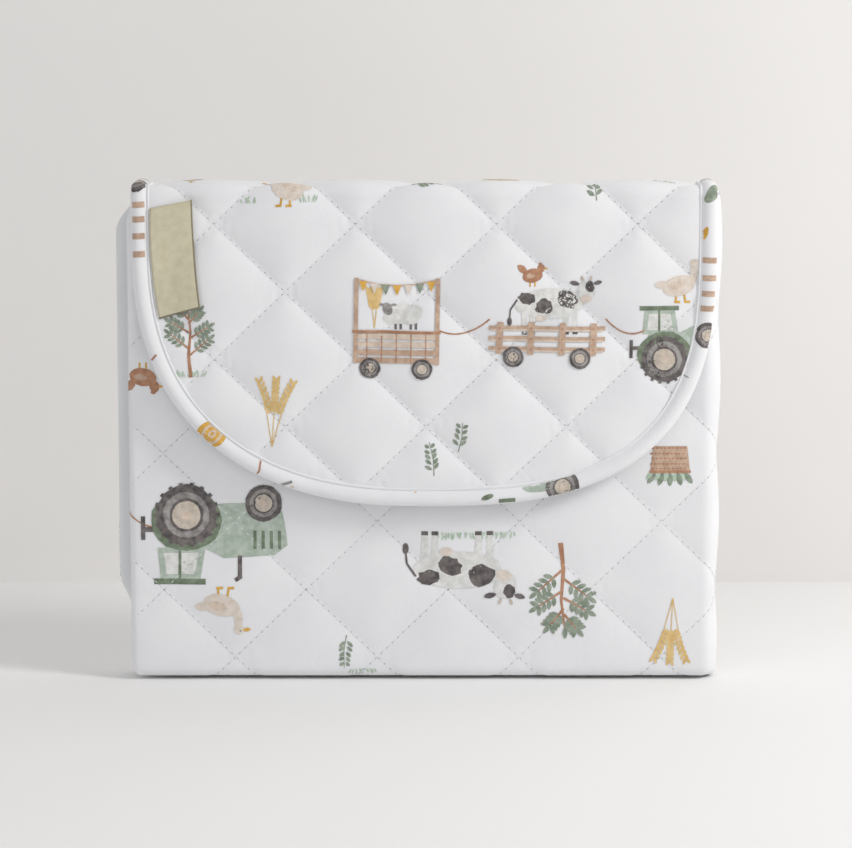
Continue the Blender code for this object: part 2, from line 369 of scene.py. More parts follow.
edge_line, edge_inward = along(flap_edge(0.0), 0.0022)
binding = bmesh.new()
around = len(BINDING_SECTION)
bmesh.ops.create_grid(binding, x_segments=len(edge_line) - 1, y_segments=around, size=0.5)
wobble = random.Random(4)
swell = [1 + 0.05 * wobble.uniform(-1, 1) for _ in edge_line]
swell = np.convolve(swell, np.ones(9) / 9, mode="same")
for vert in binding.verts:
    i = round((vert.co.x + 0.5) * (len(edge_line) - 1))
    j = round((vert.co.y + 0.5) * around) % around
    reach, height = BINDING_SECTION[j]
    place = edge_line[i] + edge_inward[i] * reach * 0.001
    vert.co = (place[0], place[1], height * 0.001 * max(swell[i], 0.9))
bmesh.ops.remove_doubles(binding, verts=binding.verts, dist=1e-6)
bmesh.ops.holes_fill(binding, edges=binding.edges)
bmesh.ops.recalc_face_normals(binding, faces=binding.faces)
binding_flat = binding.copy()
binding_ground = BVHTree.FromBMesh(binding_flat)
BINDING_COTTON = cotton("binding_cotton_ground", (0.86, 0.865, 0.885), (0.82, 0.825, 0.85))
flap_binding, root_binding = ride_flap("flap_edge_binding", binding, BINDING_COTTON)
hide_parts("flap_binding")
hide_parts("flap_spine_binding_left", "flap_spine_binding_right")

# --- Quilted mat cover -------------------------------------------------------------------------
# One sheet of the printed cotton goes round the outside of the folded mat: front, right-hand
# fold and back. Its free edges are turned in and sewn to the lining, with no binding.

MIDDLE = 0.0046
OUT = 0.0116
NOSE_START = 0.1420
NOSE_REACH = 0.0070
BOTTOM_ROUND = 0.0052
FLOOR_GAP = 0.0016
SPINE_ROUND = 0.0012
EDGE_ROUND = 0.0028
MAT_LEFT = -0.1455
MAT_TOP = 0.2448
MAT_CROWN = 0.0017
BACK_BULGE = 0.0070
INNER_RIGHT = 0.1495

nose_angles = np.linspace(0, math.pi / 2, 200)
nose_steps = np.hypot(NOSE_REACH * np.cos(nose_angles), OUT * np.sin(nose_angles))
nose_arc = np.concatenate([[0], np.cumsum((nose_steps[1:] + nose_steps[:-1]) / 2 * nose_angles[1])])
NOSE_LENGTH = float(nose_arc[-1])
SPINE_LINE = NOSE_START + NOSE_LENGTH
MAT_DIAMOND = ((SPINE_LINE + 0.1285) / 8, 0.03455)
MAT_CROSSING = (-0.1285, 0.1156)
MAT_FLAT_LEFT = MAT_LEFT + EDGE_ROUND * (1 - math.pi / 2)
MAT_FLAT_TOP = MAT_TOP - EDGE_ROUND * (1 - math.pi / 2)
MAT_FLAT_BOTTOM = FLOOR_GAP + BOTTOM_ROUND * (1 - math.pi / 2)


def turned_edge(distance):
    """How far in from the finished edge, and how deep, cloth lies that is this far from its seam."""
    if distance > EDGE_ROUND * math.pi / 2:
        return distance + EDGE_ROUND * (1 - math.pi / 2), 0.0
    angle = max(distance, 0) / EDGE_ROUND
    return EDGE_ROUND * (1 - math.cos(angle)), EDGE_ROUND * (1 - math.sin(angle))


def corner_pull(x, z):
    """How far the cloth's two corners at the free edge are drawn in."""
    near = 1 - smooth((x - MAT_LEFT) / 0.022)
    return near * (0.0035 * smooth((z - MAT_TOP + 0.014) / 0.014) + 0.0009 * smooth((0.012 - z) / 0.012))


def back_swell(x, z):
    """How far the back half's free edge swells out at mid height."""
    bulge = smooth((z - 0.030) / 0.022) * smooth((MAT_TOP - 0.0005 - z) / 0.020)
    return BACK_BULGE * bulge * (1 - smooth((x - MAT_LEFT) / 0.10))


def fold_mat(u, v, h, back=False):
    """Where a point of the flat mat cover lies, on the front half or, mirrored, on the back half."""
    if u > NOSE_START:
        t = float(np.interp(u - NOSE_START, nose_arc, nose_angles))
        x, y = NOSE_START + NOSE_REACH * math.sin(t), -OUT * math.cos(t)
        normal = Vector((math.sin(t) / NOSE_REACH, -math.cos(t) / OUT, 0)).normalized()
        inset_x = 0.0
    else:
        inset_x, depth = turned_edge(u - MAT_FLAT_LEFT)
        x, y, normal = MAT_LEFT + inset_x, -OUT + depth, Vector((0, -1, 0))
        if depth:
            normal = Vector((-math.cos((u - MAT_FLAT_LEFT) / EDGE_ROUND), -1, 0)).normalized()
    inset_z, depth = turned_edge(MAT_FLAT_TOP - v)
    if depth:
        y += depth * (abs(y) / OUT)
        v = MAT_TOP - inset_z
        normal = (normal + Vector((0, 0, math.cos(inset_z / EDGE_ROUND)))).normalized()
    else:
        v = min(v, MAT_TOP - inset_z)
    spread = smooth((abs(y) - 0.002) / 0.006)
    turn = SPINE_ROUND + (BOTTOM_ROUND - SPINE_ROUND) * spread
    start = FLOOR_GAP + turn
    if v >= start:
        z, angle, inward = v, 0.0, 0.0
    else:
        angle = min((start - v) / turn, math.pi / 2)
        z = start - turn * math.sin(angle)
        under = max(start - v - turn * math.pi / 2, 0)
        inward = turn * (1 - math.cos(angle)) + (0.1 + 0.9 * spread) * under
    place = Vector((x, y, 0)) - normal * inward
    normal = normal * math.cos(angle) + Vector((0, 0, -math.sin(angle)))
    place.z = z
    place += normal * h
    place.x += corner_pull(place.x, place.z)
    if back:
        place.x -= back_swell(place.x, place.z)
        place.y = -place.y
    place.y += MIDDLE
    place.z = max(place.z, 0.0003)
    return place


mat_flat = flat_cloth(
    MAT_DIAMOND,
    MAT_CROSSING,
    (MAT_FLAT_LEFT, MAT_FLAT_BOTTOM),
    (SPINE_LINE + MAT_DIAMOND[0], MAT_FLAT_TOP),
    lambda u, v: True,
)
raise_quilting(mat_flat, MAT_DIAMOND, MAT_CROSSING, MAT_CROWN, 4, 0.015, lambda vert: vert.is_boundary)
cut(mat_flat, (SPINE_LINE, 0, 0), (1, 0, 0))
mat_ground = BVHTree.FromBMesh(mat_flat)
mat_back = mat_flat.copy()
inner_flat = mat_flat.copy()
cut(inner_flat, (INNER_RIGHT, 0, 0), (1, 0, 0))
fold(mat_flat, fold_mat)
fold(mat_back, lambda u, v, h: fold_mat(u, v, h, back=True))
bmesh.ops.reverse_faces(mat_back, faces=mat_back.faces)
back_mesh = bpy.data.meshes.new("mat_back_half")
mat_back.to_mesh(back_mesh)
mat_back.free()
mat_flat.from_mesh(back_mesh)
bpy.data.meshes.remove(back_mesh)
bmesh.ops.remove_doubles(mat_flat, verts=mat_flat.verts, dist=2e-5)
mat_cover = make_piece("mat_quilted_cotton", mat_flat, WHITE_COTTON)
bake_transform(mat_cover)
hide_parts("back_cover", "front_cover", "back_wadding", "front_wadding")

# --- Printed farm pattern ----------------------------------------------------------------------
# The cotton is printed with small watercolour farm scenes, wide apart, all one way up on the
# cloth: so they stand upright on the flap and hang upside down on the front of the folded mat.

PRINT_LIFT = 0.00013
PRINT_LAYER = 0.000009
PRINT_FACET = 0.0016
BINDING_FACET = 0.0009


def ink(name, light, dark):
    """Water-based ink in the cloth: mottled, with the weave showing through."""
    material, nodes, links = new_material(name)
    shader = nodes["Principled BSDF"]
    shader.inputs["Roughness"].default_value = 0.88
    weave = nodes.new("ShaderNodeGroup")
    weave.node_tree = WEAVE
    wash = two_tones(nodes, dark, light, 0.36, 0.64)
    links.new(weave.outputs["Mottle"], wash.inputs["Fac"])
    links.new(wash.outputs["Color"], shader.inputs["Base Color"])
    add_relief(nodes, links, weave.outputs["Height"], 0.00012, 0.5)
    return material


INKS = {
    "charcoal": ink("ink_charcoal", (0.20, 0.18, 0.175), (0.085, 0.075, 0.075)),
    "grey": ink("ink_grey", (0.40, 0.38, 0.37), (0.22, 0.205, 0.20)),
    "hub": ink("ink_hub", (0.66, 0.58, 0.50), (0.52, 0.45, 0.38)),
    "sage": ink("ink_sage", (0.52, 0.59, 0.52), (0.39, 0.46, 0.39)),
    "green": ink("ink_green", (0.24, 0.29, 0.21), (0.14, 0.18, 0.12)),
    "leaf": ink("ink_leaf", (0.35, 0.40, 0.32), (0.20, 0.25, 0.19)),
    "rust": ink("ink_rust", (0.52, 0.29, 0.18), (0.39, 0.19, 0.11)),
    "wood": ink("ink_wood", (0.62, 0.45, 0.34), (0.48, 0.33, 0.24)),
    "pale": ink("ink_pale_wood", (0.73, 0.62, 0.52), (0.62, 0.50, 0.41)),
    "mustard": ink("ink_mustard", (0.76, 0.46, 0.10), (0.62, 0.34, 0.06)),
    "straw": ink("ink_straw", (0.80, 0.59, 0.28), (0.68, 0.46, 0.18)),
    "cream": ink("ink_cream", (0.79, 0.71, 0.64), (0.69, 0.60, 0.52)),
    "wool": ink("ink_wool", (0.80, 0.80, 0.79), (0.66, 0.66, 0.64)),
    "grass": ink("ink_grass", (0.56, 0.66, 0.54), (0.42, 0.54, 0.42)),
}
INK_ORDER = list(INKS)


class Print:
    """A sheet of the pattern being drawn in the flat: each shape is one face, in its own layer."""

    def __init__(self, seed):
        self.bm = bmesh.new()
        self.layer = 0
        self.random = random.Random(seed)
        self.at = (0.0, 0.0, 0.0, 1.0, 1.0)

    def place(self, u, v, turn=0.0, size=1.0, mirror=1.0, over=0):
        self.at = (u, v, math.radians(turn), size, mirror)
        self.layer = 30 * over
        return self

    def shape(self, colour, points, step=1.0):
        u, v, turn, size, mirror = self.at
        self.layer += step
        verts = []
        for x, y in points:
            x, y = x * size * mirror * 0.001, y * size * 0.001
            verts.append(
                self.bm.verts.new(
                    (
                        u + x * math.cos(turn) - y * math.sin(turn),
                        v + x * math.sin(turn) + y * math.cos(turn),
                        self.layer,
                    )
                )
            )
        face = self.bm.faces.new(verts)
        face.material_index = INK_ORDER.index(colour)

    def blob(self, colour, x, y, wide, tall=None, turn=0.0, points=16, rough=0.03):
        tall = wide if tall is None else tall
        turn = math.radians(turn)
        ring = []
        for i in range(points):
            t = 2 * math.pi * i / points
            reach = 1 + rough * self.random.uniform(-1, 1)
            a, b = wide * reach * math.cos(t), tall * reach * math.sin(t)
            across = a * math.cos(turn) - b * math.sin(turn)
            up = a * math.sin(turn) + b * math.cos(turn)
            ring.append((x + across, y + up))
        self.shape(colour, ring)

    def bar(self, colour, x0, y0, x1, y1, wide, end=None, step=1.0):
        end = wide if end is None else end
        long = math.hypot(x1 - x0, y1 - y0)
        a, b = -(y1 - y0) / long / 2, (x1 - x0) / long / 2
        self.shape(
            colour,
            [
                (x0 - a * wide, y0 - b * wide),
                (x1 - a * end, y1 - b * end),
                (x1 + a * end, y1 + b * end),
                (x0 + a * wide, y0 + b * wide),
            ],
            step,
        )

    def line(self, colour, points, wide, end=None):
        end = wide if end is None else end
        for i, (start, stop) in enumerate(zip(points, points[1:])):
            a = wide + (end - wide) * i / (len(points) - 1)
            b = wide + (end - wide) * (i + 1) / (len(points) - 1)
            self.bar(colour, *start, *stop, a, b)

    def leaf(self, colour, x, y, long, wide, turn):
        c, s = math.cos(math.radians(turn)), math.sin(math.radians(turn))
        half = [(0, 0), (0.25, 0.75), (0.55, 1.0), (0.85, 0.6), (1.0, 0)]
        outline = [(a * long, b * wide / 2) for a, b in half]
        outline += [(a * long, -b * wide / 2) for a, b in half[3:0:-1]]
        self.shape(colour, [(x + a * c - b * s, y + a * s + b * c) for a, b in outline], 0.15)

    def sprig(self, long=17, pairs=5):
        self.line("leaf", [(0, 0), (0.8, long * 0.5), (0, long)], 0.5, 0.3)
        for i in range(1, pairs + 1):
            y = long * (0.12 + 0.8 * i / pairs)
            for side in (-1, 1):
                spread = 90 - side * (48 + self.random.uniform(-8, 8))
                self.leaf("leaf", 0.4 * side, y - 1.6, 4.6 - 0.35 * i, 1.9, spread)

    def grass(self, wide=12):
        for i in range(int(wide / 1.3)):
            x = -wide / 2 + i * 1.3
            self.leaf("grass", x, 0, self.random.uniform(2.2, 4.6), 1.0, 90 + self.random.uniform(-35, 35))

    def wheat(self, stalks=3, tall=27):
        for i in range(stalks):
            lean = (i - (stalks - 1) / 2) * 15
            tip = (tall * math.sin(math.radians(lean)), tall * math.cos(math.radians(lean)))
            self.line("straw", [(0, 0), (tip[0] * 0.45, tip[1] * 0.55), tip], 0.55, 0.4)
            for k in range(7):
                f = 0.50 + 0.075 * k
                for side in (-1, 1):
                    self.leaf("straw", tip[0] * f * f, tip[1] * f, 4.1, 1.7, 90 - lean - side * 27)

    def tree(self, tall=34):
        self.line("rust", [(0, 0), (-0.6, tall * 0.3), (0.8, tall * 0.62), (0, tall * 0.92)], 1.9, 0.6)
        for i, (start, reach, turn) in enumerate(
            [(0.30, 12, 38), (0.38, 12, 140), (0.52, 11, 30), (0.60, 10, 148), (0.72, 8, 48), (0.78, 7, 128)]
        ):
            c, s = math.cos(math.radians(turn)), math.sin(math.radians(turn))
            base = (0.0, tall * start)
            tip = (reach * c, base[1] + reach * s)
            self.bar("rust", *base, *tip, 1.0, 0.45)
            for k in range(4):
                f = 0.35 + 0.2 * k
                for side in (-1, 1):
                    self.leaf("leaf", reach * c * f, base[1] + reach * s * f, 4.0, 1.8, turn + side * 55)
            self.leaf("leaf", *tip, 4.2, 1.8, turn)
        self.leaf("leaf", 0, tall * 0.92, 4.4, 1.9, 90)

    def wheel(self, x, y, radius, treads=0):
        for i in range(treads):
            t = 2 * math.pi * i / treads
            c, s = math.cos(t), math.sin(t)
            inner, outer = radius * 0.85, radius * 1.07
            self.bar("charcoal", x + inner * c, y + inner * s, x + outer * c, y + outer * s, 1.5, step=0.1)
        self.blob("charcoal", x, y, radius, points=24)
        self.blob("grey", x, y, radius * 0.76, points=20)
        self.blob("charcoal", x, y, radius * 0.56, points=20)
        self.blob("hub", x, y, radius * 0.47, points=18)
        self.blob("pale", x, y, radius * 0.16, points=10)

    def tractor(self):
        self.shape("sage", [(-30, 10), (-31, 15), (-29, 16), (-12, 17), (4, 14), (10, 9), (-10, 7), (-26, 7)])
        self.shape("sage", [(-31, 14), (-32, 23), (-27, 27), (-8, 28), (-2, 25), (14, 24), (16, 15), (6, 13)])
        self.shape("sage", [(-1, 24), (1, 36), (16, 36), (17, 24)])
        self.shape("wool", [(1.5, 26), (3.2, 34.2), (13.8, 34.2), (14.6, 26)])
        self.bar("green", -1, 37, 18.5, 37, 2.2)
        self.bar("green", 8.6, 25, 8.8, 36, 1.1)
        for i in range(4):
            self.bar("green", -29 + 3.1 * i, 17.5, -29 + 3.1 * i, 24.5, 1.2)
        self.bar("charcoal", -14, 27, -14, 35, 1.6)
        self.bar("charcoal", -14.6, 34.8, -12.2, 36.4, 1.6)
        self.bar("charcoal", 18, 17, 23, 17, 1.8)
        self.bar("charcoal", 22.4, 12, 22.4, 21, 1.6)
        self.blob("green", 6, 13.6, 13.4, 11.8, points=20)
        self.wheel(6, 11.5, 11.5, 18)
        self.wheel(-23, 7, 7, 0)

    def slat_cart(self):
        for y in (7.5, 11.0, 14.5, 18.0):
            self.bar("wood" if y < 12 else "pale", -19, y, 19, y + 0.3, 2.5)
        for x in (-18, 18):
            self.bar("wood", x, 6, x, 44, 1.9)
        for x in (-13, -6.5, 0, 6.5, 13):
            self.bar("rust", x, 6.8, x, 19.4, 0.45)
        self.bar("rust", -19.5, 20.2, 19.5, 20.2, 1.2)
        self.wheel(-11.5, 4, 4.6)
        self.wheel(11.5, 4, 4.6)
        self.line("wood", [(-18, 43.5), (-9, 41.4), (0, 40.8), (9, 41.4), (18, 43.5)], 0.5)
        for i, colour in enumerate(["mustard", "cream", "leaf", "mustard", "cream", "leaf", "mustard"]):
            x = -15 + 5 * i
            y = 40.9 + 0.0078 * x * x
            self.shape(colour, [(x - 1.9, y), (x + 1.9, y), (x, y - 4.6)])

    def rail_cart(self):
        for y in (8, 13, 18):
            self.bar("wood", -28, y, 28, y + 0.4, 1.9)
            self.bar("pale", -27, y - 1.0, 27, y - 0.7, 0.9)
        for x in (-23, -8, 7, 22):
            self.bar("wood", x, 5.4, x + 0.6, 20.8, 3.1)
            for y in (8, 13, 18):
                self.blob("rust", x + 0.3, y, 0.55, points=8)
        self.wheel(-16, 4, 5)
        self.wheel(16, 4, 5)

    def cow(self):
        for x in (-12.5, -8, 9, 13):
            self.bar("wool", x, 12, x, 0.5, 3.0, 2.2)
            self.bar("charcoal", x, 1.6, x, 0, 2.6)
        self.blob("wool", 0, 15.5, 17.5, 7.6, points=24)
        self.blob("charcoal", -9, 17.5, 5.4, 4.2, 20, rough=0.16)
        self.blob("charcoal", 3, 14, 4.6, 3.8, -15, rough=0.18)
        self.blob("charcoal", 11.5, 18.5, 4.4, 3.2, 10, rough=0.16)
        self.line("charcoal", [(16.5, 18), (20, 13), (20.5, 8)], 0.9, 0.7)
        self.blob("charcoal", 20.5, 7, 1.2, 2.2)
        self.blob("cream", 4.5, 8.2, 2.6, 1.7)
        self.blob("wool", -18.5, 21.5, 4.2, 5.2, -18, points=18)
        self.blob("charcoal", -20.2, 23.8, 2.3, 2.8, -10, rough=0.12)
        self.blob("cream", -18.2, 17.6, 3.0, 2.1, -12)
        self.leaf("charcoal", -15.2, 25.0, 5.2, 2.4, 12)
        self.leaf("charcoal", -22.0, 25.2, 4.6, 2.2, 165)
        self.leaf("hub", -17.0, 26.4, 3.0, 1.2, 72)
        self.leaf("hub", -20.4, 26.6, 3.0, 1.2, 108)

    def sheep(self):
        for x in (-4.5, -2, 3, 5.5):
            self.bar("charcoal", x, 4.5, x, 0, 1.2)
        for x, y in ((-5, 8), (0, 9.6), (5, 8.4), (-2.5, 6), (3, 6), (-6.5, 6)):
            self.blob("wool", x, y, 4.0, 3.6, rough=0.10)
        self.blob("grey", -8.5, 10.2, 2.4, 3.3, 20)
        self.leaf("grey", -7.2, 12.0, 3.4, 1.5, 5)
        self.leaf("grey", -9.8, 12.2, 3.2, 1.4, 172)

    def goose(self):
        self.bar("mustard", -1.5, 4, -2.2, 0, 1.0)
        self.bar("mustard", 2.5, 4, 2.6, 0, 1.0)
        self.bar("mustard", -4.6, 0, -1.6, 0.2, 1.2)
        self.bar("mustard", 0.4, 0, 3.4, 0.2, 1.2)
        self.blob("cream", 1.2, 8, 8.2, 5.0, -14, points=20)
        self.leaf("cream", 6, 9, 7.4, 4.0, -4)
        self.leaf("pale", -2, 9.4, 9.6, 4.4, -12)
        self.line("cream", [(-4.4, 9), (-6.6, 13.5), (-6.2, 18)], 4.6, 3.0)
        self.blob("cream", -6.6, 19.2, 2.4, 2.1)
        self.leaf("mustard", -8.2, 19.4, 3.8, 1.8, 186)
        self.blob("charcoal", -7.2, 19.8, 0.4, points=8)

    def hen(self):
        self.bar("mustard", -0.8, 3, -0.8, 0, 0.7)
        self.bar("mustard", 1.6, 3, 1.6, 0, 0.7)
        self.blob("rust", 0.4, 5.4, 5.0, 3.4, -10)
        self.leaf("rust", 3, 6.4, 6.4, 3.6, 42)
        self.leaf("wood", -1.4, 5.8, 5.2, 2.6, -8)
        self.blob("rust", -3.8, 8.8, 1.9, 2.2, 20)
        self.leaf("mustard", -5.2, 9.0, 1.9, 1.0, 190)
        self.blob("rust", -3.4, 11.0, 1.0, 0.7)

    def basket(self):
        for x in (-7, -3.5, 0, 3.5, 7):
            self.leaf("leaf", x, 14, 7.5, 3.2, 90 - 5 * x)
            self.leaf("grass", x + 1.4, 13.6, 5.6, 2.4, 78 - 4 * x)
        self.shape("wood", [(-8.5, 1), (-10, 14), (10, 14), (8.5, 1)])
        for row in range(5):
            for i in range(9):
                x = -8.2 + i * 2.0 + (row % 2) * 0.7
                self.leaf("rust", x, 2.1 + 2.6 * row, 1.7, 1.0, 8 if row % 2 else -8)
        self.bar("rust", -10.4, 14, 10.4, 14, 1.4)

    def bale(self):
        self.blob("mustard", 0, 8, 9.5, 7.5, points=20, rough=0.06)
        self.blob("pale", 0, 8, 6.6, 5.2, points=18)
        self.blob("mustard", 0, 8, 5.0, 3.9, points=16)
        self.blob("pale", 0.3, 8, 2.6, 2.0, points=12)
        self.blob("mustard", 0.2, 8, 1.2, 0.9, points=10)

    def rope(self, start, stop, sag):
        """A slack rope between two points of the cloth, given in millimetres."""
        self.place(0, 0)
        points = []
        for i in range(15):
            t = i / 14
            drop = 4 * sag * t * (1 - t)
            points.append((start[0] + (stop[0] - start[0]) * t, start[1] + (stop[1] - start[1]) * t - drop))
        self.line("rust", points, 0.75)

    def finished(self, ground, keep=lambda u, v: True, facet=PRINT_FACET, spread=1.0):
        """Cuts every shape into small facets, lays them on the quilted cloth and drops what hangs off it."""
        bm = self.bm
        bmesh.ops.triangulate(bm, faces=bm.faces)
        for _ in range(6):
            long = [e for e in bm.edges if e.calc_length() > facet]
            if not long:
                break
            bmesh.ops.subdivide_edges(bm, edges=long, cuts=1)
            bmesh.ops.triangulate(bm, faces=[f for f in bm.faces if len(f.verts) > 3])
        lost = []
        for vert in bm.verts:
            hit = cloth_below(ground, *vert.co.xy)
            if hit is None or not keep(vert.co.x, vert.co.y):
                lost.append(vert)
            else:
                vert.co.z = hit.z + spread * (PRINT_LIFT + PRINT_LAYER * vert.co.z)
        bmesh.ops.delete(bm, geom=lost, context="VERTS")
        bm.normal_update()
        down = [f for f in bm.faces if f.normal.z < 0]
        bmesh.ops.reverse_faces(bm, faces=down)
        return bm


def flap_scenes():
    art = Print(11)
    art.place(-0.1135, 0.1552, 2).grass(16)
    art.tree(37)
    art.place(-0.0735, 0.1206, -4).wheat(3, 34)
    art.place(-0.0225, 0.1796).wheat(2, 19)
    art.place(-0.0075, 0.1791).sheep()
    art.place(-0.0120, 0.1552, -1, 1.12, over=1).slat_cart()
    art.rope((9.4, 178.6), (34.5, 184.3), 4.2)
    art.place(0.0645, 0.1766, 1, 0.98, -1).cow()
    art.place(0.0560, 0.2003, 0, 1.0, -1).hen()
    art.place(0.0625, 0.1610, -1, 1.03, over=1).rail_cart()
    art.rope((91.8, 184.3), (111.0, 178.6), 4.0)
    art.place(0.1270, 0.1527, 0, 1.0, -1).tractor()
    art.place(0.1290, 0.1926, 0, 1.0, -1).goose()
    art.place(0.0070, 0.1061, 8).sprig(17, 5)
    art.place(0.0190, 0.1180, -8).sprig(15, 4)
    art.place(-0.0040, 0.2500, -76).sprig(16, 5)
    art.place(0.0870, 0.2428, 12).sprig(13, 4)
    art.place(-0.0665, 0.2402).goose()
    art.place(-0.0830, 0.2412).grass(9)
    art.place(-0.0540, 0.2417).grass(9)
    art.place(0.0400, 0.2567).bale()
    art.place(-0.1130, 0.2527).wheat(3, 24)
    art.place(0.1220, 0.2557).grass(12)
    return art


def binding_scenes():
    """Slivers of the same scenes show where the strip was cut across them."""
    art = Print(12)
    art.place(-0.1400, 0.2527).wheel(0, 0, 6.5)
    for y in (0.2407, 0.2335, 0.2252, 0.2163):
        art.place(-0.1400, y, 3).bar("wood", -7, 0, 7, 0, 3.0)
    art.place(-0.1330, 0.1594, 20).bar("rust", -6, 0, 5, 6, 1.0)
    art.place(-0.0985, 0.1217, 40, 0.9).bale()
    art.place(-0.0800, 0.1045, 60).line("rust", [(-8, 0), (-3, 2.5), (4, 2.0), (9, 4)], 0.9)
    art.place(-0.0690, 0.1010, 15).bar("grey", -6, 0, 6, 1, 1.4)
    art.bar("cream", -5, -3, 6, -2, 1.8)
    art.place(-0.0020, 0.0983, 10).leaf("mustard", -2, 0, 4, 2, 10)
    art.blob("charcoal", 4, 1.5, 1.0)
    art.place(0.0300, 0.0931, -10).blob("green", 3, 3, 3.2, 1.3, 30)
    art.blob("charcoal", 8, -1, 4.2, 1.1, 10)
    art.bar("green", 9, 2, 17, 4, 2.2)
    art.place(0.0660, 0.0993, 8).blob("sage", -6, 3, 9, 3.2)
    art.wheel(5, 0.5, 8.5)
    art.place(0.1080, 0.1253, 30).wheat(2, 15)
    art.place(0.1330, 0.1552, 70).sprig(14, 4)
    art.place(0.1425, 0.1761).wheel(0, 0, 6.5)
    for y in (0.1894, 0.1967, 0.2045, 0.2133):
        art.place(0.1430, y, -2).bar("wood", -7, 0, 7, 0, 2.8)
    art.place(0.1420, 0.2226).leaf("mustard", -3, 0, 8, 3, 70)
    art.place(0.1440, 0.2454).blob("leaf", 0, 0, 5, 2.6, 40)
    art.place(-0.1390, 0.2690, 4).bar("wood", -7, 0, 7, 0, 3.0)
    art.place(0.1440, 0.2700).blob("sage", 0, 0, 5, 3.4, 30)
    return art


def front_scenes():
    """Hanging upside down: this side of the cloth runs the other way up from the flap."""
    art = Print(13)
    art.rope((-146.5, 85.9), (-124.0, 81.8), 5.0)
    art.place(-0.1090, 0.0999, 180, 1.33).tractor()
    art.place(-0.0985, 0.0476, 180, 1.12).goose()
    art.place(0.0250, 0.0761, 180).grass(44)
    art.place(0.0190, 0.0764, 180, 1.28).cow()
    art.place(0.0705, 0.0704, 183, 1.34).tree(35)
    art.place(-0.0370, 0.0233, 176).sprig(17, 5)
    art.place(-0.0300, 0.0062, 180).grass(14)
    art.place(0.1270, 0.0424, 178).wheat(3, 33)
    art.place(0.1250, 0.1206, 180).basket()
    art.place(-0.1375, 0.1615, 180, 1.35).hen()
    art.place(-0.0850, 0.2019, 180).slat_cart()
    art.place(0.0300, 0.1967, 180).rail_cart()
    art.place(0.0300, 0.1801, 180).sheep()
    art.place(0.0950, 0.2330, 180).tree(32)
    art.place(-0.0200, 0.2330, 180).wheat(3, 26)
    art.place(-0.1200, 0.2330, 180).goose()
    return art


def back_scenes():
    art = Print(14)
    art.place(-0.1400, 0.0766, 180, 1.25).wheel(0, 9, 11, 16)
    art.bar("green", 1, 16, 9, 30, 4)
    art.place(-0.0850, 0.2195, 180).slat_cart()
    art.place(-0.0830, 0.1946, 180).sheep()
    art.place(-0.0150, 0.2133, 180).cow()
    art.place(-0.0150, 0.2298, 180, over=1).rail_cart()
    art.rope((-65.0, 211.2), (-44.0, 213.3), 4.0)
    art.place(0.0650, 0.2308, 180, 1.0, -1).tractor()
    art.place(0.1180, 0.2174, 180).tree(36)
    art.place(-0.1180, 0.1501, 180).tree(40)
    art.place(-0.0600, 0.1242, 180, 1.3).tractor()
    art.place(0.0100, 0.1397, 180).wheat(3, 32)
    art.place(0.0600, 0.1345, 180, 1.25, -1).cow()
    art.place(0.1170, 0.1325, 180).basket()
    art.place(-0.0950, 0.0517, 180).goose()
    art.place(-0.0200, 0.0539, 180).sprig(17, 5)
    art.place(0.0450, 0.0579, 180).bale()
    art.place(0.1050, 0.0601, 180).wheat(3, 30)
    art.place(0.0000, 0.0725, 180).grass(18)
    return art


def inner_scenes(seed):
    art = Print(seed)
    for u, v, draw in (
        (-0.095, 0.170, "tractor"),
        (-0.030, 0.165, "slat_cart"),
        (0.045, 0.170, "cow"),
        (0.110, 0.176, "tree"),
        (-0.120, 0.103, "wheat"),
        (-0.060, 0.098, "goose"),
        (0.005, 0.093, "tree"),
        (0.065, 0.098, "rail_cart"),
        (0.120, 0.103, "sprig"),
        (-0.110, 0.037, "basket"),
        (-0.050, 0.031, "cow"),
        (0.015, 0.037, "sprig"),
        (0.070, 0.031, "tractor"),
        (0.125, 0.037, "hen"),
    ):
        art.place(u, v, 0, 1.15, -1.0 if seed % 2 else 1.0)
        getattr(art, draw)()
    return art


def off_binding(u, v):
    return on_flap(u, v, 0.0060)


def on_binding_top(u, v):
    return on_flap(u, v, 0.0004) and not on_flap(u, v, 0.0078)


def ride_mat(name, bm, back, *materials):
    """Folds a flat piece round one half of the mat; it bends with the cover where it nears the side fold."""
    fold(bm, lambda u, v, h: fold_mat(u, v, h, back))
    if back:
        bmesh.ops.reverse_faces(bm, faces=bm.faces)
    piece = make_piece(name, bm, *materials)
    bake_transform(piece)
    return piece


inks = list(INKS.values())
for piece in ride_flap("flap_print", flap_scenes().finished(flap_ground, off_binding), *inks):
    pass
binding_art = binding_scenes().finished(binding_ground, on_binding_top, BINDING_FACET)
for piece in ride_flap("binding_print", binding_art, *inks):
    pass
for name, art, back in (("front_print", front_scenes(), False), ("back_print", back_scenes(), True)):
    ride_mat(name, art.finished(mat_ground), back, *inks)

# --- Quilting stitches -------------------------------------------------------------------------
# White polyester thread, one lockstitch every 3.9 mm, pulled into the wadding at each needle hole.
# Each hole's dent is shown by painted shade: a small dark disc between two stitches.

THREAD = cotton("white_thread", (0.88, 0.885, 0.90), (0.80, 0.805, 0.82), 0.00005, 0.6)
# Dark grey discs stand for the shade inside each needle hole: painted shade, not the thread's colour.
PAINTED_HOLE_SHADE = cotton("needle_hole_shadow", (0.60, 0.605, 0.63), (0.40, 0.405, 0.43), 0.00005, 0.95)


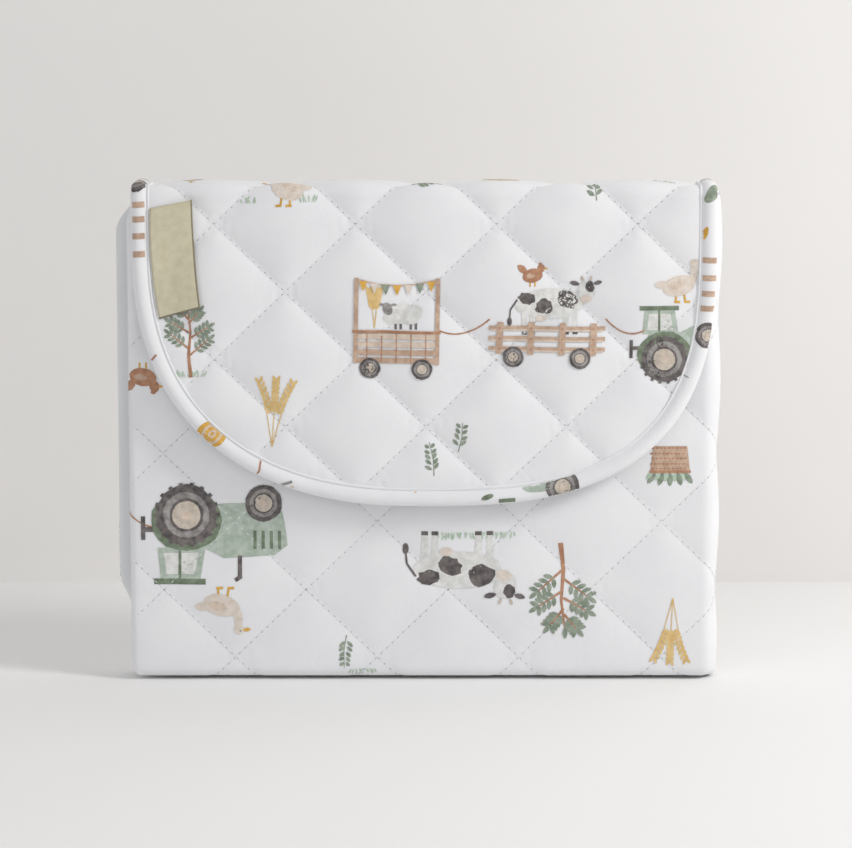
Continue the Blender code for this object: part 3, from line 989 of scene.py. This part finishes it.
def quilting_places(diamond, crossing, low, high):
    """Each stitch of the lattice: its middle and its direction."""
    long = math.hypot(*diamond)
    reach = int(max(high[0] - low[0], high[1] - low[1]) / min(diamond)) + 4
    for slope in (1, -1):
        for k in range(-reach, reach + 1):
            count = int(reach * 2 * long / STITCH_PITCH)
            for i in range(-count // 2, count // 2):
                t = i * STITCH_PITCH / long
                u = crossing[0] + diamond[0] * (2 * k + t)
                v = crossing[1] + slope * diamond[1] * t
                if low[0] < u < high[0] and low[1] < v < high[1]:
                    yield u, v, math.atan2(slope * diamond[1], diamond[0])


def sew(ground, places, inside=lambda u, v: True):
    """Thread on the cloth between the holes, and a small dark disc of painted shade at each hole."""
    bm, row = bmesh.new(), bmesh.new()
    mesh = bpy.data.meshes.new("stitch_row")
    for count, (u, v, turn) in enumerate(places):
        if count % 40 == 39:
            row.to_mesh(mesh)
            bm.from_mesh(mesh)
            row.clear()
        hit = cloth_below(ground, u, v)
        if hit is None or not inside(u, v):
            continue
        spin = Matrix.Rotation(turn, 4, "Z")
        at = Matrix.Translation((u, v, hit.z + 0.00008))
        size = Matrix.Diagonal((0.00125, 0.00024, 0.00020, 1))
        bmesh.ops.create_uvsphere(row, u_segments=6, v_segments=4, radius=1, matrix=at @ spin @ size)
        half = Vector((math.cos(turn), math.sin(turn))) * STITCH_PITCH / 2
        at = Matrix.Translation((u + half.x, v + half.y, hit.z + 0.00014))
        size = Matrix.Diagonal((0.00058, 0.00027, 1, 1))
        made = bmesh.ops.create_circle(row, cap_ends=True, segments=8, radius=1, matrix=at @ spin @ size)
        for face in {f for vert in made["verts"] for f in vert.link_faces}:
            face.material_index = 1
            face.normal_update()
            if face.normal.z < 0:
                face.normal_flip()
    row.to_mesh(mesh)
    bm.from_mesh(mesh)
    row.free()
    bpy.data.meshes.remove(mesh)
    return bm


flap_places = list(quilting_places(FLAP_DIAMOND, FLAP_CROSSING, (-0.15, 0.08), (0.15, FLAP_ROOT)))
flap_rows = sew(flap_ground, flap_places, lambda u, v: on_flap(u, v, 0.0102))
for piece in ride_flap("flap_stitches", flap_rows, THREAD, PAINTED_HOLE_SHADE):
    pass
mat_places = list(quilting_places(MAT_DIAMOND, MAT_CROSSING, (-0.1440, 0.0), (SPINE_LINE, 0.2428)))
for name, back in (("front_stitches", False), ("back_stitches", True)):
    ride_mat(name, sew(mat_ground, mat_places), back, THREAD, PAINTED_HOLE_SHADE)

# --- Woven label -------------------------------------------------------------------------------
# A plain khaki woven tab, caught under the binding along its left
# edge; its right side is free and stands a little off the puffed flap. Its right and bottom edges are darker:
# partly dark selvedge threads, partly painted shade at the edge. It carries no lettering.

LABEL_CORNERS = ((-0.1332, 0.2389), (-0.1121, 0.2433), (-0.1084, 0.1902), (-0.1289, 0.1842))
LABEL_BOW = -0.0016
LABEL_CLOTH = 0.0005


def label_cloth():
    material, nodes, links = new_material("woven_khaki")
    shader = nodes["Principled BSDF"]
    shader.inputs["Roughness"].default_value = 0.78
    shader.inputs["Sheen Weight"].default_value = 0.15
    place = nodes.new("ShaderNodeUVMap")
    place.uv_map = "cloth"
    apart = nodes.new("ShaderNodeSeparateXYZ")
    links.new(place.outputs["UV"], apart.inputs[0])
    warp = nodes.new("ShaderNodeTexWave")
    warp.wave_type = "BANDS"
    warp.bands_direction = "X"
    warp.inputs["Scale"].default_value = 26
    warp.inputs["Distortion"].default_value = 0.6
    weft = nodes.new("ShaderNodeTexWave")
    weft.wave_type = "BANDS"
    weft.bands_direction = "Y"
    weft.inputs["Scale"].default_value = 46
    weft.inputs["Distortion"].default_value = 0.8
    mottle = nodes.new("ShaderNodeTexNoise")
    mottle.inputs["Scale"].default_value = 5
    mottle.inputs["Detail"].default_value = 6
    for texture in (warp, weft, mottle):
        links.new(place.outputs["UV"], texture.inputs["Vector"])
    weave = nodes.new("ShaderNodeMath")
    links.new(warp.outputs["Fac"], weave.inputs[0])
    links.new(weft.outputs["Fac"], weave.inputs[1])
    add_relief(nodes, links, weave.outputs[0], 0.00009, 0.7)
    cloth = two_tones(nodes, (0.74, 0.68, 0.48), (0.86, 0.80, 0.60), 0.3, 0.7)
    links.new(mottle.outputs["Fac"], cloth.inputs["Fac"])
    # Dark band on the right and bottom edges: dark selvedge threads mixed with painted shade along the tab's
    # edge.
    edge = nodes.new("ShaderNodeMath")
    edge.operation = "GREATER_THAN"
    edge.inputs[1].default_value = 0.962
    links.new(apart.outputs["X"], edge.inputs[0])
    foot = nodes.new("ShaderNodeMath")
    foot.operation = "LESS_THAN"
    foot.inputs[1].default_value = 0.035
    links.new(apart.outputs["Y"], foot.inputs[0])
    edge_threads_and_shade = nodes.new("ShaderNodeMath")
    edge_threads_and_shade.operation = "MAXIMUM"
    links.new(edge.outputs[0], edge_threads_and_shade.inputs[0])
    links.new(foot.outputs[0], edge_threads_and_shade.inputs[1])
    mix = nodes.new("ShaderNodeMix")
    mix.data_type = "RGBA"
    mix.inputs["B"].default_value = (0.30, 0.26, 0.17, 1)
    links.new(edge_threads_and_shade.outputs[0], mix.inputs["Factor"])
    links.new(cloth.outputs["Color"], mix.inputs["A"])
    links.new(mix.outputs["Result"], shader.inputs["Base Color"])
    return material


label = bmesh.new()
bmesh.ops.create_grid(label, x_segments=18, y_segments=40, size=0.5)
cloth_map = label.loops.layers.uv.new("cloth")
for face in label.faces:
    for loop in face.loops:
        loop[cloth_map].uv = (loop.vert.co.x + 0.5, (loop.vert.co.y + 0.5) * 2.4)
top_left, top_right, low_right, low_left = (np.array(c) for c in LABEL_CORNERS)
for vert in label.verts:
    s, t = vert.co.x + 0.5, vert.co.y + 0.5
    place = (low_left * (1 - s) + low_right * s) * (1 - t) + (top_left * (1 - s) + top_right * s) * t
    place[0] += LABEL_BOW * math.sin(math.pi * t) * (1 - 0.5 * s)
    height = 0.0
    for du in (-0.004, 0, 0.004):
        for dv in (-0.005, 0, 0.005):
            hit = cloth_below(flap_ground, place[0] + du, place[1] + dv)
            height = max(height, 0.0 if hit is None else hit.z)
    own = cloth_below(flap_ground, place[0], place[1])
    height = 0.55 * height + 0.45 * (0.0 if own is None else own.z) + 0.0007
    curl = 0.0016 * smooth((s - 0.35) / 0.65) + 0.0005 * math.sin(7 * t + 1) * s
    vert.co = (place[0], place[1], max(height, 0.0015) + curl)
for _ in range(3):
    bmesh.ops.smooth_vert(label, verts=label.verts, factor=0.5, use_axis_z=True)
bmesh.ops.solidify(label, geom=label.faces, thickness=LABEL_CLOTH)
bmesh.ops.recalc_face_normals(label, faces=label.faces)
fold(label, fold_flap)
woven_label = make_piece("woven_label_tab", label, label_cloth())
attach(woven_label, "label")
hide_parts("woven_label")

# --- Coated lining of the flap -----------------------------------------------------------------
# White wipe-clean lining closes the flap's underside. It is quilted with the cotton, so the same
# lines hold it, and it swells less because it lies against the mat.

LINING_SWELL = 0.42


def coated_cloth(name, colour, dark):
    material, nodes, links = new_material(name)
    shader = nodes["Principled BSDF"]
    shader.inputs["Roughness"].default_value = 0.42
    shader.inputs["Coat Weight"].default_value = 0.15
    shader.inputs["Coat Roughness"].default_value = 0.35
    weave = nodes.new("ShaderNodeGroup")
    weave.node_tree = WEAVE
    tone = nodes.new("ShaderNodeMix")
    tone.data_type = "RGBA"
    tone.inputs["A"].default_value = (*dark, 1)
    tone.inputs["B"].default_value = (*colour, 1)
    links.new(weave.outputs["Tone"], tone.inputs["Factor"])
    links.new(tone.outputs["Result"], shader.inputs["Base Color"])
    add_relief(nodes, links, weave.outputs["Height"], 0.00008, 0.35)
    return material


LINING = coated_cloth("coated_lining", (0.82, 0.83, 0.84), (0.76, 0.77, 0.785))
for vert in lining_flat.verts:
    vert.co.z = -STITCHED_THICKNESS - LINING_SWELL * vert.co.z
bmesh.ops.reverse_faces(lining_flat, faces=lining_flat.faces)
flap_lining, flap_root_lining = ride_flap("flap_coated_lining", lining_flat, LINING)
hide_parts("flap_lining")
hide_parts("flap_spine_lining")

# --- Inner faces and linings of the mat --------------------------------------------------------
# Folded up inside: on each half the printed cotton turns under at the bottom and comes up again
# at the middle, and between the two layers of each half the coated lining lies face to face.

INNER_GAP = 0.0012
INNER_SWELL = 0.25
INNER_TURN = 0.0054
LINING_PLANE = 0.0064
LINING_HALF_GAP = 0.0003
LINING_EDGE = 0.0021
LINING_LOW = 0.0062


def inner_pull(x, z):
    """How much further the layers inside the bottom fold are drawn in at its left end."""
    return 0.0037 * smooth((0.0068 - z) / 0.0052) * (1 - smooth((x - MAT_LEFT) / 0.022))


def fold_inner(u, v, h, back):
    """The printed face that lies at the middle of the packet, turned under at the bottom."""
    side = 1 if back else -1
    inset_x, depth_x = turned_edge(u - MAT_FLAT_LEFT)
    inset_z, depth_z = turned_edge(MAT_FLAT_TOP - v)
    x = MAT_LEFT + inset_x if inset_x < 0.01 else u
    depth = max(depth_x, depth_z)
    z = MAT_TOP - inset_z
    start = FLOOR_GAP + INNER_TURN
    if v < start:
        angle = min((start - v) / INNER_TURN, math.pi / 2)
        z = start - INNER_TURN * math.sin(angle)
        depth += INNER_TURN * (1 - math.cos(angle))
        x -= 0.006 * smooth((x - 0.10) / 0.05) * math.sin(angle)
    x += corner_pull(x, z) + inner_pull(x, z)
    y = side * (INNER_GAP + depth - h * INNER_SWELL * smooth((0.0024 - depth) / 0.0024))
    return Vector((x, MIDDLE + max(y * side, 0.0001) * side, max(z, 0.0004)))


def fold_lining(u, w, back):
    """The lining's way: down inside the outer layer, round the bottom fold and up the inner layer."""
    side = 1 if back else -1
    up = abs(w) - LINING_HALF_GAP * math.pi / 2
    gap = LINING_HALF_GAP
    for distance in (MAT_TOP - LINING_LOW - up, u - MAT_LEFT):
        if distance < LINING_EDGE:
            angle = math.acos(min(max(1 - distance / LINING_EDGE, 0.0), 1.0))
            gap += LINING_EDGE * (1 - math.sin(angle))
    gap = min(gap, LINING_HALF_GAP + LINING_EDGE)
    if up < 0:
        turn = w / LINING_HALF_GAP
        y, z = LINING_PLANE - gap * math.sin(turn), LINING_LOW - gap * math.cos(turn)
    else:
        z = LINING_LOW + up
        gap = min(gap + 0.0002 * math.sin(u * 60 + 3 * z) ** 2, LINING_HALF_GAP + LINING_EDGE)
        y = LINING_PLANE - math.copysign(gap, w)
    x = u + corner_pull(u, z) + inner_pull(u, z)
    if back and y > LINING_PLANE:
        x -= back_swell(x, z)
    return Vector((x, MIDDLE + side * y, z))


def lay_inside(name, bm, body, lift, *materials):
    """Lays a flat piece on the inner face of one half, a little off it where it is sewn or printed on."""
    back = body == "back_half"
    off = Vector((0, -lift if back else lift, 0))
    fold(bm, lambda u, v, h: fold_inner(u, v, h, back) + off)
    if not back:
        bmesh.ops.reverse_faces(bm, faces=bm.faces)
    piece = make_piece(name, bm, *materials)
    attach(piece, body)
    return piece


def inside_print(u, v):
    return u < 0.146 and v > 0.010


inner_places = [p for p in mat_places if p[0] < 0.147 and p[1] > 0.009]
for back, body, half in ((False, "front_half", "front"), (True, "back_half", "back")):
    piece = lay_inside(half + "_inner_cotton", inner_flat.copy(), body, 0.0, WHITE_COTTON)
    art = inner_scenes(21 + back).finished(mat_ground, inside_print, spread=0.7 / INNER_SWELL)
    lay_inside(half + "_inner_print", art, body, 0.00012, *inks)
    lay_inside(half + "_inner_stitches", sew(mat_ground, inner_places), body, 0.00010, THREAD, PAINTED_HOLE_SHADE)
    lining = bmesh.new()
    bmesh.ops.create_grid(lining, x_segments=120, y_segments=240, size=0.5)
    long = 2 * (MAT_TOP - LINING_LOW + LINING_HALF_GAP * math.pi / 2)
    for vert in lining.verts:
        s, t = vert.co.x + 0.5, 2 * vert.co.y
        u = MAT_LEFT + (INNER_RIGHT - 0.003 - MAT_LEFT) * s**1.3
        w = math.copysign(1 - (1 - abs(t)) ** 1.3, t) * long / 2
        vert.co = fold_lining(u, w, back)
    piece = make_piece(half + "_coated_lining", lining, LINING)
    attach(piece, body)
    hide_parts(half + "_lining")
inner_flat.free()

# --- Hook and loop closure ---------------------------------------------------------------------
# White hook tape under the flap's tip and a longer strip of loop tape on the front of the mat,
# each sewn down all round just inside its edge.

TAPE_PILE = 0.0007
TAPE_SEAM = 0.0018
TAPE_STITCH = 0.0026
TAPE_CORNER = 0.002
HOOK_SIZE = (0.080, 0.020)
LOOP_SIZE = (0.100, 0.025)
TAPE_MIDDLE = (FLAP_CENTRE, 0.1164)


def pile(name, colour, dark, scale, depth):
    material, nodes, links = new_material(name)
    shader = nodes["Principled BSDF"]
    shader.inputs["Roughness"].default_value = 0.9
    shader.inputs["Sheen Weight"].default_value = 0.3
    place = nodes.new("ShaderNodeTexCoord")
    tufts = nodes.new("ShaderNodeTexVoronoi")
    tufts.inputs["Scale"].default_value = scale
    # Darker away from each tuft's middle, where the inverted bump sinks: painted shade in the recesses
    # between the tufts.
    tone = nodes.new("ShaderNodeValToRGB")
    tone.color_ramp.elements[0].color = (*colour, 1)
    tone.color_ramp.elements[1].color = (*dark, 1)
    tone.color_ramp.elements[1].position = 0.75
    relief = nodes.new("ShaderNodeBump")
    relief.inputs["Distance"].default_value = depth
    relief.invert = True
    links.new(place.outputs["Object"], tufts.inputs["Vector"])
    links.new(tufts.outputs["Distance"], tone.inputs["Fac"])
    links.new(tone.outputs["Color"], shader.inputs["Base Color"])
    links.new(tufts.outputs["Distance"], relief.inputs["Height"])
    links.new(relief.outputs["Normal"], shader.inputs["Normal"])
    return material


def tape(wide, tall, middle, path, step):
    """A flat strip with soft corners and rolled edges, and a row of stitches inside its edge."""
    bm = bmesh.new()
    bmesh.ops.create_grid(bm, x_segments=round(wide / step), y_segments=round(tall / step), size=0.5)
    for vert in bm.verts:
        x, y = vert.co.x * wide, vert.co.y * tall
        near = min(wide / 2 - abs(x), tall / 2 - abs(y))
        past_x, past_y = abs(x) - wide / 2 + TAPE_CORNER, abs(y) - tall / 2 + TAPE_CORNER
        corner = math.hypot(max(past_x, 0), max(past_y, 0))
        if corner > TAPE_CORNER:
            x -= math.copysign((corner - TAPE_CORNER) * 0.7, x)
            y -= math.copysign((corner - TAPE_CORNER) * 0.7, y)
        seam = 0.00030 * math.exp(-(((near - TAPE_SEAM) / 0.0006) ** 2))
        vert.co = (x, y, TAPE_PILE * min(1.0, (max(near, 0) / 0.0011) ** 0.5) - seam)
    row = bmesh.new()
    sewn_wide, sewn_tall = wide - 2 * TAPE_SEAM, tall - 2 * TAPE_SEAM
    count_wide, count_tall = round(sewn_wide / TAPE_STITCH), round(sewn_tall / TAPE_STITCH)
    for i in range(count_wide):
        for side in (-1, 1):
            x = -wide / 2 + TAPE_SEAM + (i + 0.5) * sewn_wide / count_wide
            at = Matrix.Translation((x, side * (tall / 2 - TAPE_SEAM), TAPE_PILE - 0.0002))
            size = Matrix.Diagonal((0.0010, 0.00022, 0.0002, 1))
            bmesh.ops.create_uvsphere(row, u_segments=6, v_segments=4, radius=1, matrix=at @ size)
    for i in range(count_tall):
        for side in (-1, 1):
            y = -tall / 2 + TAPE_SEAM + (i + 0.5) * sewn_tall / count_tall
            at = Matrix.Translation((side * (wide / 2 - TAPE_SEAM), y, TAPE_PILE - 0.0002))
            size = Matrix.Diagonal((0.00022, 0.0010, 0.0002, 1))
            bmesh.ops.create_uvsphere(row, u_segments=6, v_segments=4, radius=1, matrix=at @ size)
    for half in (bm, row):
        for vert in half.verts:
            vert.co = path(middle[0] + vert.co.x, middle[1] + vert.co.y, vert.co.z)
    return bm, row


def on_underside(u, v, h):
    """Under the flap the tape's face looks back at the mat."""
    return fold_flap(u, v, -STITCHED_THICKNESS - LINING_SWELL * FLAP_CROWN * 0.55 - h)


def on_front(u, v, h):
    return fold_mat(u, v, MAT_CROWN * 0.75 + h)


hook, hook_row = tape(*HOOK_SIZE, TAPE_MIDDLE, on_underside, 0.0008)
for half in (hook, hook_row):
    bmesh.ops.reverse_faces(half, faces=half.faces)
loop, loop_row = tape(*LOOP_SIZE, TAPE_MIDDLE, on_front, 0.0008)
HOOK_PILE = pile("hook_tape", (0.80, 0.80, 0.80), (0.52, 0.52, 0.53), 1250, 0.00030)
LOOP_PILE = pile("loop_tape", (0.84, 0.84, 0.84), (0.66, 0.66, 0.67), 900, 0.00022)
for name, bm, material, body, node in (
    ("hook_tape_strip", hook, HOOK_PILE, "flap", "hook_tape"),
    ("hook_tape_stitches", hook_row, THREAD, "flap", None),
    ("loop_tape_strip", loop, LOOP_PILE, "front_half", "loop_tape"),
    ("loop_tape_stitches", loop_row, THREAD, "front_half", None),
):
    piece = make_piece(name, bm, material)
    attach(piece, body)
    if node:
        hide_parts(node)

# --- Floor, light and camera -------------------------------------------------------------------
# A pale floor runs back to a pale wall, which is clear from behind. Soft light comes from the
# upper right, with a weaker one from the left.


def stage_plane(name, corners, colour):
    bm = bmesh.new()
    bm.faces.new([bm.verts.new(c) for c in corners])
    material, nodes, links = new_material(name)
    shader = nodes["Principled BSDF"]
    shader.inputs["Base Color"].default_value = (*colour, 1)
    shader.inputs["Roughness"].default_value = 0.9
    side = nodes.new("ShaderNodeNewGeometry")
    clear = nodes.new("ShaderNodeBsdfTransparent")
    seen = nodes.new("ShaderNodeMixShader")
    links.new(side.outputs["Backfacing"], seen.inputs[0])
    links.new(shader.outputs[0], seen.inputs[1])
    links.new(clear.outputs[0], seen.inputs[2])
    links.new(seen.outputs[0], nodes["Material Output"].inputs["Surface"])
    plane = make_piece(name, bm, material)


WALL_Y = 0.26
stage_plane("floor", [(-4, -4, 0), (4, -4, 0), (4, WALL_Y, 0), (-4, WALL_Y, 0)], (0.93, 0.925, 0.925))
stage_plane("wall", [(-4, WALL_Y, 0), (4, WALL_Y, 0), (4, WALL_Y, 4), (-4, WALL_Y, 4)], (0.88, 0.865, 0.85))


def soft_light(name, place, aim, size, power, colour):
    data = bpy.data.lights.new(name, "AREA")
    data.shape = "DISK"
    data.size = size
    data.energy = power
    data.color = colour
    light = bpy.data.objects.new(name, data)
    light.location = place
    light.rotation_euler = (Vector(aim) - Vector(place)).to_track_quat("-Z", "Y").to_euler()
    bpy.context.scene.collection.objects.link(light)


soft_light("key", (1.25, -0.62, 1.0), (0, 0, 0.12), 0.5, 12.5, (1.0, 0.985, 0.96))
soft_light("fill", (-0.9, -1.8, 1.2), (0, 0, 0.12), 1.6, 5, (0.96, 0.98, 1.0))
world = bpy.data.worlds.new("studio")
world.use_nodes = True
world.node_tree.nodes["Background"].inputs["Color"].default_value = (1.0, 1.0, 1.0, 1)
world.node_tree.nodes["Background"].inputs["Strength"].default_value = 0.46
bpy.context.scene.world = world
bpy.context.scene.view_settings.view_transform = "Standard"

ELEVATION = math.radians(8)
DISTANCE = 1.7
FILM_WIDTH = 36
PACKET_WIDTH = 0.300
PACKET_SHARE = 0.7042254
camera_data = bpy.data.cameras.new("camera")
camera_data.sensor_width = FILM_WIDTH
camera_data.lens = FILM_WIDTH * PACKET_SHARE * DISTANCE / PACKET_WIDTH
camera = bpy.data.objects.new("camera", camera_data)
TARGET = Vector((0.0030, -0.0050, 0.1302))
camera.location = TARGET + DISTANCE * Vector((0, -math.cos(ELEVATION), math.sin(ELEVATION)))
camera.rotation_euler = (math.pi / 2 - ELEVATION, 0, 0)
bpy.context.scene.collection.objects.link(camera)
bpy.context.scene.camera = camera
